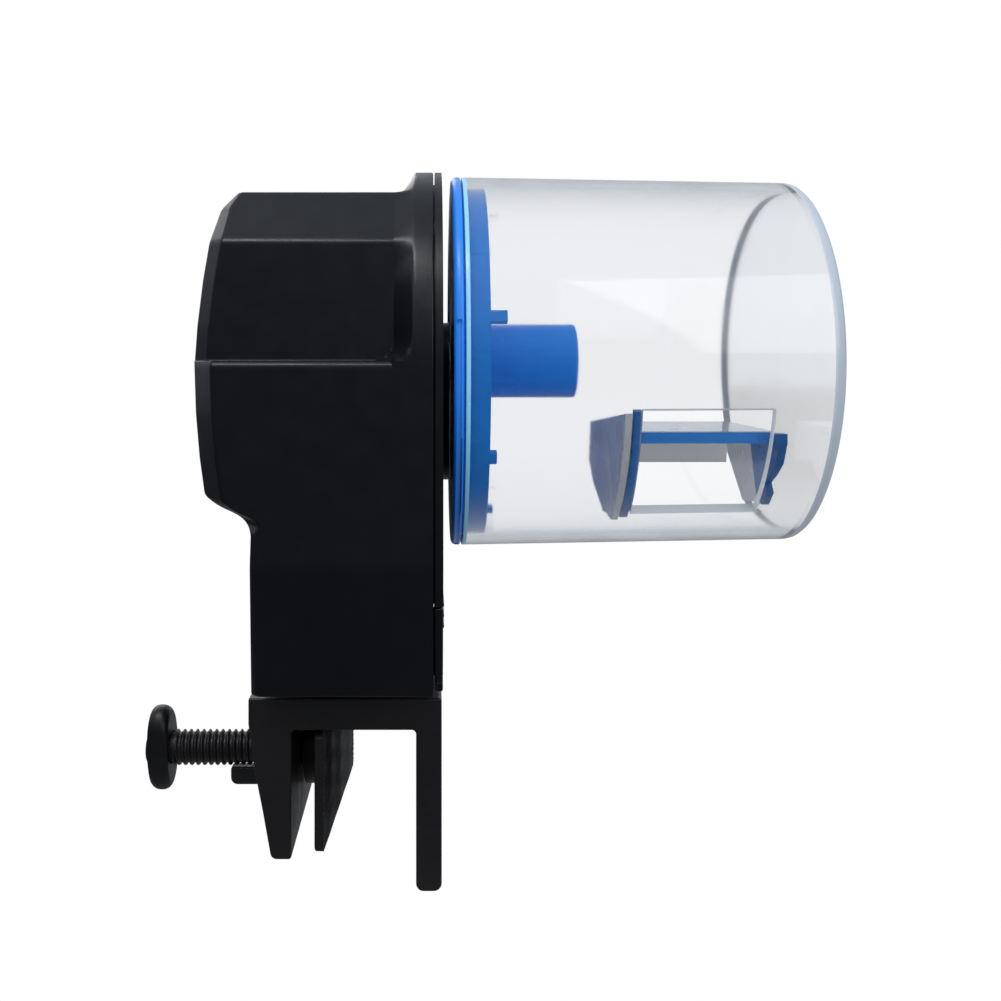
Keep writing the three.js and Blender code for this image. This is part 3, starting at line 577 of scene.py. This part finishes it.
def section(z, half_width, inset, rear):
    bow = soft(BOW, z)
    side = half_width - inset
    above = min(1, max(0, (RIM_R - half_width) / (RIM_R - TURRET_W))) if z > NECK_TOP_Z + 10 else 0
    upper = mix(TOP_BEVEL, z)
    bevel = soft(BEVEL_ALONG_X, min(z, AXIS_Z - 0.5)) * (1 - above) + upper * above
    face = side - soft(BEVEL_ALONG_Y, min(z, AXIS_Z - 0.5)) * (1 - above) - upper * above
    front = soft(FACE, z, 0.6) + inset
    corner = front + bow * face * face
    bows = [(front + bow * (face * t / 6) ** 2, face * t / 6, 0) for t in range(5, -6, -1)]
    outline = [(rear, -side, 0.25), (rear, side, 0.25), (corner + bevel, side, 1.0), (corner, face, 1.0),
               *bows, (corner, -face, 1.0), (corner + bevel, -side, 1.0)]
    return [(x, y, z) for x, y in filleted(outline)]


def levels(low, high, *tables):
    marks = {low, high}
    for table in tables:
        for z, _ in table:
            marks.update(z + 0.8 * t / 2 for t in (-2, -1, 0, 1, 2))
    marks = sorted(z for z in marks if low <= z <= high)
    return [z for i, z in enumerate(marks) if i == 0 or z - marks[i - 1] > 0.12]


def turret_radius(angle):
    """Distance from the drum's axis to the turret's outline."""
    u, v = abs(math.cos(angle)), math.sin(angle)
    side_z, top_z = TURRET_SIDE[1] - AXIS_Z, TURRET_TOP[1] - AXIS_Z
    corners = [(TURRET_W, 0), (TURRET_SIDE[0], side_z), (TURRET_TOP[0], top_z), (0, top_z)]
    lengths = []
    for (y0, z0), (y1, z1) in zip(corners, corners[1:]):
        across = u * (z1 - z0) - v * (y1 - y0)
        if abs(across) > 1e-9:
            length = (y0 * (z1 - z0) - z0 * (y1 - y0)) / across
            if length > 0:
                lengths.append(length)
    return min(lengths)


FLARE_X = (4.3, 7.7)
FLARE_RINGS = (0.6, 1.2, 1.8, 2.4, 3.0, 3.6, 4.1, 4.3, 4.5, 5.0, 5.6, 6.2, 6.8, 7.3, 7.6, 7.8, 8.2)
FLARE_FOOT = 3.4


def flare():
    rings = []
    for x in (*FLARE_RINGS, 10.85, 11.02, PART_X):
        ring = []
        for i in range(145):
            angle = math.pi * i / 144
            base = turret_radius(angle)
            rise = max(0, 1 - base * math.sin(angle) / FLARE_FOOT)
            foot = FLARE_FOOT * (1 - math.sqrt(1 - rise * rise))
            share = (x + foot - FLARE_X[0]) / (FLARE_X[1] - FLARE_X[0])
            r = base + (RIM_R - base) * min(1, max(0, share)) - 0.6 * min(1, max(0, -2 * share))
            r -= 0.08 if x == 11.02 else 0.25 if x == PART_X else 0
            ring.append((x, r * math.cos(angle), AXIS_Z + r * math.sin(angle)))
        first, last = ring[0], ring[-1]
        ring += [(x, last[1], AXIS_Z - 1.5), (x, first[1], AXIS_Z - 1.5)]
        rings.append(ring)
    return loft("flare", rings)


def housing_shell():
    rings = [section(z, soft(BODY, z, 1.5), inset, PART_X)
             for z, inset in ((8.6, 0.5), (8.72, 0.22), (9.0, 0.04))]
    rings += [section(z, soft(BODY, z, 1.5), 0, PART_X) for z in levels(9.3, 64.6, BODY, FACE)]
    ledge = ((64.9, 36.9), (65.25, 36.83), (65.55, 36.68), (65.8, 36.42), (65.95, 36.1), (66, 35.7),
             (66.02, 31.25), (66.08, 31.1), (66.2, 31.02), (66.4, 31.0))
    rings += [section(z, w, 0, PART_X) for z, w in ledge]
    rings += [section(z, soft(TURRET, z), 0, PART_X) for z in levels(67, 95.6, TURRET, FACE)]
    rings += [section(z, mix(TURRET, z), inset, PART_X)
              for z, inset in ((96.05, 0.02), (96.25, 0.08), (96.36, 0.18), (96.4, 0.32))]
    return loft("housing", rings)


def housing_cavity():
    rear = PART_X + 1
    low = [section(z, mix(BODY, z), WALL - 0.2, rear) for z in (9.8, 32, 37.8, 40.6, 43, 44.8, 57, 65)]
    high = [section(z, mix(TURRET, z), WALL, rear) for z in (64.8, 80, 85.8, 92, 94.4)]
    return loft("cavity_low", low), loft("cavity_high", high)


def rounded_box(name, x0, x1, half_y, half_z, z, radius):
    corners = [(half_y, z - half_z), (half_y, z + half_z), (-half_y, z + half_z), (-half_y, z - half_z)]
    return slab_x(name, filleted([(y, v, radius) for y, v in corners], 6), x0, x1)


def bar_x(name, r, a, b, y, z, steps=40):
    return slab_x(name, circle(y, z, r, steps), a, b)


def bar_z(name, r, a, b, x, y, steps=32):
    return slab_z(name, circle(x, y, r, steps), a, b)


def arch(inset, low, front):
    """The shape inside the rear rim, from its foot at z = low; two of them make the cover's groove."""
    r = RIM_R - inset
    return slab_x("arch", [*circle(0, AXIS_Z, r, 72, 0, 180), (-r, low), (r, low)], front, PART_X + 1.4)


def front_housing():
    shell = joined(housing_shell(), flare())
    cut(shell, *housing_cavity())
    posts = [bar_x("post", 3, -26.5 if z > AXIS_Z else -18.3, 8, y, z) for y, z in POSTS]
    bosses = [bar_z("boss", 2.3, 9, 11.9, BRACKET_SCREW_X, y) for y in BRACKET_SCREWS_Y]
    joined(shell, *posts, *bosses)
    tools = [bar_x("pilot", 1.4, -4, 12.1, y, z, 24) for y, z in POSTS]
    tools += [bar_x("seat", 4.5, 8, 12.1, y, z) for y, z in POSTS]
    tools += [bar_z("hole", 1.4, 8, 11.4, BRACKET_SCREW_X, y, 24) for y in BRACKET_SCREWS_Y]
    tools += [bar_x("key", 3.4, -34, -24, y, BUTTON_Z) for y in BUTTON_Y]
    tools.append(rounded_box("window", -34, -24, 19, 9.5, LCD_Z, 1.2))
    tools.append(cut(arch(2.05, 60, 10.3), arch(3.6, 59, 9)))
    return cut(shell, *tools)


piece(front_housing(), "housing", "black_shell", BLACK, "front_housing", sharp=32)


# ---- clamp ----
THREAD_X = (-39.6, -13.4)
THREAD_DEPTH = 0.5


def thread_radius(x, r, angle):
    if abs(r - SCREW_R) > 1e-6 or not THREAD_X[0] <= x <= THREAD_X[1]:
        return r
    turn = (x / SCREW_PITCH - angle / (2 * math.pi)) % 1
    flank = min(1, max(0, 1.35 - abs(turn - 0.5) * 4.2))
    return SCREW_R - THREAD_DEPTH * (1 - flank)


def clamp_screw():
    body = [(-40 + i * SCREW_PITCH / 9, SCREW_R) for i in range(int(27 / SCREW_PITCH * 9) + 1)]
    tip = [(-11.9, 2.75), (-11.4, 2.3), (-10.9, 1.6), (-10.6, 0)]
    profile = [(-44.4, 0), (-44.4, 2.9), (-40, 2.9), *body, *tip]
    return lathe("clamp_thread", profile, 48, SCREW_Z, radius_at=thread_radius)


KNOB_TURN = math.radians(10)


def clamp_knob():
    """A thumb bar with two lobes and a round hub between them."""
    waist, reach = 4.3, 8.65

    def lobed(_x, r, angle):
        if r < waist:
            return r
        bar = waist + (reach - waist) * abs(math.sin(angle - KNOB_TURN)) ** 3
        return waist + (bar - waist) * (r - waist) / (reach - waist)

    front, rear, edge = -44.7, -40.7, 1.8
    arc = [(edge * math.sin(math.radians(t)), reach - edge + edge * math.cos(math.radians(t)))
           for t in range(0, 91, 10)]
    profile = [(-45.5, 0), (-45.5, 2.2), (-45.42, 2.7), (-45.2, 3.1), (-44.9, 3.4), (-44.55, 3.6),
               (-44.5, 4.0), (front, 4.29)]
    profile += [(front + edge - dx, r) for dx, r in reversed(arc)]
    profile += [(rear - edge + dx, r) for dx, r in arc]
    profile += [(rear, 4.2), (rear, 3.2), (-44.65, 3.2), (-44.65, 0)]
    return lathe("clamp_knob_grip", profile, 144, SCREW_Z, radius_at=lobed)


def clamp_pad():
    """The pressing plate: a diamond-knurled face, a plain back and a socket for the screw."""
    pitch, depth, thickness, columns = 1.05, 0.24, 1.75, 156
    edge = filleted([(-21, -22.4, 1.6), (21, -22.4, 1.6), (21, -1.1, 0.8), (-21, -1.1, 0.8)], 6)

    def ridge(t):
        return abs((t / pitch) % 1 - 0.5) * 2

    plate = slab_x("clamp_pad_plate", edge, PAD_FACE_X - thickness, PAD_FACE_X - depth)
    applied(bevelled(plate, 0.25, 2, 50))
    points, faces = [], []
    rows = 76
    for j in range(rows + 1):
        for i in range(columns + 1):
            y, z = -20.9 + 41.8 * i / columns, -22.3 + 21.1 * j / rows
            high = min(ridge(y + z), ridge(y - z))
            points.append((PAD_FACE_X - depth * (1 - high), y, z))
    across = columns + 1
    for j in range(rows):
        for i in range(columns):
            a = j * across + i
            faces.append((a, a + 1, a + 1 + across, a + across))
    rim = list(range(columns)) + [j * across + columns for j in range(rows)]
    rim += [rows * across + i for i in range(columns, 0, -1)] + [j * across for j in range(rows, 0, -1)]
    start, count = len(points), len(rim)
    points += [(PAD_FACE_X - depth - 0.3, points[i][1], points[i][2]) for i in rim]
    faces += [(rim[k], rim[(k + 1) % count], start + (k + 1) % count, start + k) for k in range(count)]
    faces.append(tuple(range(start, start + count)))
    knurl = boolean(mesh_object("knurl", points, faces), "INTERSECT",
                    slab_x("trim", edge, PAD_FACE_X - 1.5, PAD_FACE_X + 1))
    joined(plate, knurl, bar_x("boss", 6.8, -13.6, PAD_FACE_X - 1.2, 0, SCREW_Z, 64))
    pivot = Matrix.Translation((PAD_FACE_X * MM, 0, 0))
    plate.data.transform(pivot @ Matrix.Rotation(PAD_YAW, 4, "Z") @ pivot.inverted())
    return cut(plate, bar_x("socket", 4.1, -16, PAD_FACE_X - 1.1, 0, SCREW_Z, 64))


def clamp_bracket():
    outline = filleted([
        (-22, 5.7, 0.4), (-22, 1, 3), (-20.7, -8.2, 8), (-19.5, -14.2, 8), (-17.9, -23.1, 1.2),
        (-14.3, -23.1, 0.5), (-14.3, 0, 0.8), (8, 0, 0.8), (8, -28.8, 1.3), (12.6, -28.8, 1.4),
        (12.6, 5.7, 0.6)], 6)
    frame_piece = bevelled(slab_y("clamp_body", outline, -21.5, 21.5), 0.45, 3, 60)
    applied(frame_piece)
    tongue = block("tongue", (-13, -17, 5.4), (7, 17, 8.3))
    side = filleted([(-28.9, -14.4, 0.4), (-28.9, -17.8, 1.3), (-18.2, -17.8, 0), (-18.2, -14.4, 0)])
    rib = slab_y("rib", side, -1.4, 1.4)
    applied(bevelled(rib, 0.3, 2, 50))
    gusset = slab_y("gusset", [(-20, SCREW_Z + 6), (-23, SCREW_Z + 6), (-20.8, 1)], -1.2, 1.2)
    joined(frame_piece, tongue, rib, gusset)
    heads = [bar_z("head", 2.9, -1, 2.3, BRACKET_SCREW_X, y) for y in BRACKET_SCREWS_Y]
    shanks = [bar_z("shank", 1.5, 0, 9, BRACKET_SCREW_X, y) for y in BRACKET_SCREWS_Y]
    return cut(frame_piece, bar_x("bore", 3.7, -30, -10, 0, SCREW_Z, 64), *heads, *shanks)


piece(clamp_screw(), "screw", "black_clamp", BLACK_CLAMP, "clamp_screw", sharp=50, level=False)
piece(clamp_knob(), "screw", "black_clamp", BLACK_KNOB, "clamp_knob", sharp=45)
piece(clamp_pad(), "pad", "black_clamp", BLACK_CLAMP, "clamp_pad", sharp=20, level=False)
piece(clamp_bracket(), "housing", "black_clamp", BLACK_CLAMP, "clamp_bracket", sharp=35)


# ---- drum ----
def drum_lid():
    skirt_r = DRUM_R - DRUM_WALL - 0.4
    profile = [(LID_X, 0), (LID_X, 35.2), (LID_X + 0.12, 35.5), (LID_X + 0.35, 35.78), (LID_X + 0.7, 35.95),
               (LID_X + 1.0, DRUM_R), (16.0, DRUM_R), (16.15, 35.9), (16.2, 35.7), (16.2, skirt_r),
               (20.4, skirt_r), (20.62, skirt_r - 0.1), (20.7, skirt_r - 0.3), (20.7, skirt_r - 1.3),
               (20.6, skirt_r - 1.5),
               (16.2, skirt_r - 1.5), (16.2, 7.7), (16.35, 7.4), (16.7, HUB_R), (HUB_END_X - 0.4, HUB_R),
               (HUB_END_X - 0.1, HUB_R - 0.1), (HUB_END_X, HUB_R - 0.35), (HUB_END_X, 0)]
    lid = lathe("lid_body", profile, 160)
    inner_r = skirt_r - 1.5
    tabs = [bevelled(sector("tab", inner_r, skirt_r, deg - 1.8, deg + 1.8, 20.4, 23.5, 8), 0.2, 2, 60)
            for deg in TAB_DEG]
    lug = bevelled(sector("lug", inner_r, skirt_r, 207.4, 210.9, 20.4, 21.9, 6), 0.2, 2, 60)
    joined(lid, *[applied(t) for t in (*tabs, lug)])
    ribs = []
    for deg in range(0, 360, 60):
        rib = block("rib", (16, -0.5, 6.5), (18.6, 0.5, 11))
        rib.data.transform(Matrix.Rotation(math.radians(deg), 4, "X"))
        rib.data.transform(Matrix.Translation((0, 0, AXIS_Z * MM)))
        ribs.append(rib)
    joined(lid, *ribs)
    socket = slab_x("socket", circle(0, AXIS_Z, 4.3, 6), LID_X - 1, HUB_END_X - 2)
    groove = sector("groove", DRUM_R - 0.35, 37, 180 - 11, 180 + 82, 14.95, 15.75, 60)
    return cut(lid, socket, groove)


OUTLET_X = (45.9, 68.2)
OUTLET_DEG = (193.5, 229.8)
STOP_X = (21.3, 24.8)
STOP_DEG = (17, 20)
END_WALL = 1.5
RIM_BAND = 2.3
MOUTH_BAND = 0.75
CLEAR_FACE, RIM_PAINTED_FACE, MOUTH_PAINTED_FACE, CUT_PAINTED_FACE, PALE_PAINTED_FACE = range(5)


def drum_wall(x):
    return DRUM_R + (DRUM_END_R - DRUM_R) * (x - DRUM_X) / (DRUM_END_X - DRUM_X)


def food_drum():
    end = DRUM_END_X
    inner = end - END_WALL
    profile = [(end, 0), (end, 33.3), (end - 0.12, 33.85), (end - 0.45, 34.4), (end - 0.95, 34.78),
               (end - 1.6, drum_wall(end - 1.6)), (end - RIM_BAND, drum_wall(end - RIM_BAND)),
               (DRUM_X + MOUTH_BAND, drum_wall(DRUM_X + MOUTH_BAND)), (DRUM_X + 0.2, DRUM_R),
               (DRUM_X + 0.05, DRUM_R - 0.07), (DRUM_X, DRUM_R - 0.25), (DRUM_X, DRUM_R - DRUM_WALL + 0.2),
               (DRUM_X + 0.2, DRUM_R - DRUM_WALL), (inner, drum_wall(inner) - DRUM_WALL), (inner, 0)]
    drum = lathe("drum_shell", profile, 180)
    stops = [sector("stop", 33.9, 34.5, deg + STOP_DEG[0], deg + STOP_DEG[1], *STOP_X, 4)
             for deg in TAB_DEG]
    joined(drum, *stops)
    return cut(drum, sector("outlet", 30, 40, *OUTLET_DEG, *OUTLET_X, 24))


def drum_painted_light(place, normal):
    """Which copy of the clear plastic one face of the drum gets, by where it is and which way it looks. All
    but the plain clear copy are painted light: the grey-blue rim, the cyan-blue mouth, the grey outlet
    edges and the white inward faces. Rim faces get the painted grey-blue when they look outwards and the
    painted white when they look inwards.
    """
    x, y, z = place / MM
    r = math.hypot(y, z - AXIS_Z)
    degrees = math.degrees(math.atan2(z - AXIS_Z, y)) % 360
    outward = (y * normal.y + (z - AXIS_Z) * normal.z) / r
    if x > DRUM_END_X - RIM_BAND - 0.1 and r > 32.4:
        return RIM_PAINTED_FACE if outward > 0.1 or normal.x > 0.5 else PALE_PAINTED_FACE
    if x < DRUM_X + MOUTH_BAND - 0.05:
        return MOUTH_PAINTED_FACE
    inside = OUTLET_X[0] - 0.1 < x < OUTLET_X[1] + 0.1
    inside = inside and OUTLET_DEG[0] - 0.3 < degrees < OUTLET_DEG[1] + 0.3
    if not inside or abs(outward) > 0.3:
        return CLEAR_FACE
    return PALE_PAINTED_FACE if abs(normal.x) > 0.7 else CUT_PAINTED_FACE


def dose_tray():
    far = 71.6
    outer = [(y, z) for y, z in circle(0, AXIS_Z, 33.1, 16, 195.2, 238)]
    wall = outer + [(-8.3, 37.7), (3, 41.4), (8.6, 45.5), (6.6, 53.6)]
    end_wall = slab_x("tray_end_wall", wall, 43.3, 44.6)
    ceiling = slab_x("tray_ceiling", [(6.6, 53.6), (-26.6, 53.6), (-26.6, 52.4), (6.2, 52.4)], 44.62, far)
    lip = slab_x("lip", [(5.4, 53.6), (7.5, 45.1), (8.7, 45.5), (6.6, 53.6)], 44.62, far)
    return end_wall, joined(ceiling, lip)


def dose_slider():
    a, end = 44.9, 71.3
    strip = sector("slider", 31.2, 32.7, 195, 238, a, a + 1.4, 24)
    bar = block("bar", (a, -29.7, 51.9), (end, -27.1, 53.8))
    outer = circle(0, AXIS_Z, 32.7, 6, 204, 212)
    hook = [(-24.4, 46.4), (-21.4, 44.8), (-22.6, 43.2), (-19.8, 40.8), (-17.5, 41.5), (-15.8, 45.2),
            (-13.5, 52.05), (-28.4, 52.05)]
    plate = slab_x("plate", outer + hook, end - 1.3, end)
    # Painted shade: a pale grey-blue sheet fills the blue plate's far part, standing in for the shade on
    # that part of the plate.
    shade_sheet = slab_x("plate_shade_sheet", [(-17.45, 41.4), (-16.8, 40.3), (-8.6, 39.4), (1.6, 47.6), (2.4, 52.0),
                                     (-13.35, 52.0), (-15.65, 45.2)], end - 1.2, end - 0.1)
    foot = block("foot", (a, -29.7, 51.9), (a + 1.4, -27.1, 56))
    return joined(strip, bar, plate, foot), shade_sheet


# ---- display ----
def lcd_segments():
    """A clock display, 12:00, in raised segments on the tilted glass."""
    height, width, bar, gap = 4.6, 5.0, 0.9, 0.12
    shown = ((10.8, "bc"), (4.0, "abged"), (-4.0, "abcdef"), (-10.8, "abcdef"))
    spots = {"a": (0, height), "g": (0, 0), "d": (0, -height), "f": (width / 2, height / 2),
             "e": (width / 2, -height / 2), "b": (-width / 2, height / 2), "c": (-width / 2, -height / 2)}
    boxes = []
    for centre, lit in shown:
        for name in lit:
            y, z = spots[name]
            flat, upright = (width / 2 - bar / 2 - gap, bar / 2), (bar / 2, height / 2 - gap)
            half_y, half_z = flat if name in "agd" else upright
            boxes.append((centre + y, LCD_Z + z, half_y, half_z))
    boxes += [(0, LCD_Z + z, bar / 2, bar / 2) for z in (-2, 2)]
    points, faces = [], []
    for y, z, half_y, half_z in boxes:
        base = len(points)
        for x in (LCD_GLASS_X - 0.12, LCD_GLASS_X - 0.02):
            for v, w in ((-half_y, -half_z), (half_y, -half_z), (half_y, half_z), (-half_y, half_z)):
                points.append((x + (z + w - LCD_Z) * math.tan(LCD_TILT), y + v, z + w))
        faces += [tuple(base + i for i in face) for face in
                  ((0, 3, 2, 1), (4, 5, 6, 7), (0, 1, 5, 4), (1, 2, 6, 5), (2, 3, 7, 6), (3, 0, 4, 7))]
    return mesh_object("lcd_segments", points, faces)


# ---- pieces of the display and the drum ----
piece(lcd_segments(), "housing", "lcd", INK, sharp=30)
lid = piece(drum_lid(), "lid", "blue_lid", BLUE, "drum_lid", sharp=35)
lid.data.materials.append(BLUE_PAINTED_BRIGHT)
# Painted light: the lid's faces inside the drum get the brighter painted copy of its blue.
for face in lid.data.polygons:
    face.material_index = int(face.center.x / MM > DRUM_X - 0.1)
drum = piece(food_drum(), "drum", "clear_drum", CLEAR, "food_drum", sharp=35)
# Painted light: each face of the drum gets either the clear plastic or one of its painted grey-blue,
# cyan-blue, grey and white copies, by where it is and which way it looks.
for painted_copy in (RIM_PAINTED_LIGHT, MOUTH_PAINTED_BLUE, CUT_PAINTED_GREY, PALE_PAINTED_WHITE):
    drum.data.materials.append(painted_copy)
for face in drum.data.polygons:
    face.material_index = drum_painted_light(face.center, face.normal)
end_wall, ceiling = dose_tray()
# The tray's end wall carries painted shade and reflected blue in its grey-blue tint.
piece(end_wall, "drum", "clear_drum", TINTED_PAINTED_SHADE, "dose_tray", sharp=35, edge=0.15)
piece(ceiling, "drum", "clear_drum", CLEAR_TRAY, sharp=35, edge=0.15)
slider, shade_sheet = dose_slider()
piece(slider, "slider", "blue_slider", BLUE_SLIDER, "dose_slider", sharp=35, edge=0.15)
# The sheet of painted shade rides with the slider.
piece(shade_sheet, "slider", "clear_drum", TINTED_PAINTED_SHADE, sharp=35, edge=0.15)

# ---- carried-over CAD nodes: rounded edges and finishes ----
CARRIED = {
    "back_cover": (BLACK, 0.25), "battery_door": (BLACK, 0.3), "battery_tray": (BLACK, 0.2),
    "display_lens": (LENS, 0.2), "lcd_module": (LCD, 0.15), "control_board": (BOARD, 0.05),
    "button_mat": (MAT, 0.2), "gear_motor": (STEEL, 0.3), "motor_pinion": (BRASS, 0.05),
    "first_gear": (ACETAL, 0.06), "second_gear": (ACETAL, 0.06), "output_gear": (ACETAL, 0.06),
    "gear_plate": (ACETAL, 0.2), "drive_shaft": (ACETAL, 0.2), "shaft_bush": (BRASS, 0.15),
    "contact_link": (STEEL, 0.08), "contact_1": (STEEL, 0.08), "contact_2": (STEEL, 0.08),
    "contact_spring_1": (STEEL, 0), "contact_spring_2": (STEEL, 0),
    "cell_1": (CELL, 0.3), "cell_2": (CELL, 0.3),
    "gear_arbor_1": (STEEL, 0.15), "gear_arbor_2": (STEEL, 0.15),
    "bracket_screw_1": (STEEL, 0.12), "bracket_screw_2": (STEEL, 0.12),
    **{f"cover_screw_{i}": (STEEL, 0.12) for i in range(1, 5)},
    **{f"button_{i}": (KEYS, 0.25) for i in range(1, 5)},
}
for name, (material, edge) in CARRIED.items():
    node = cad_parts[name]
    node.data.attributes.remove(node.data.attributes["custom_normal"])
    soften(node, 180)
    node.data.materials.clear()
    node.data.materials.append(material)
    weld = node.modifiers.new("weld", "WELD")
    weld.merge_threshold = 1e-6
    if edge:
        bevelled(node, edge, 2, 40)
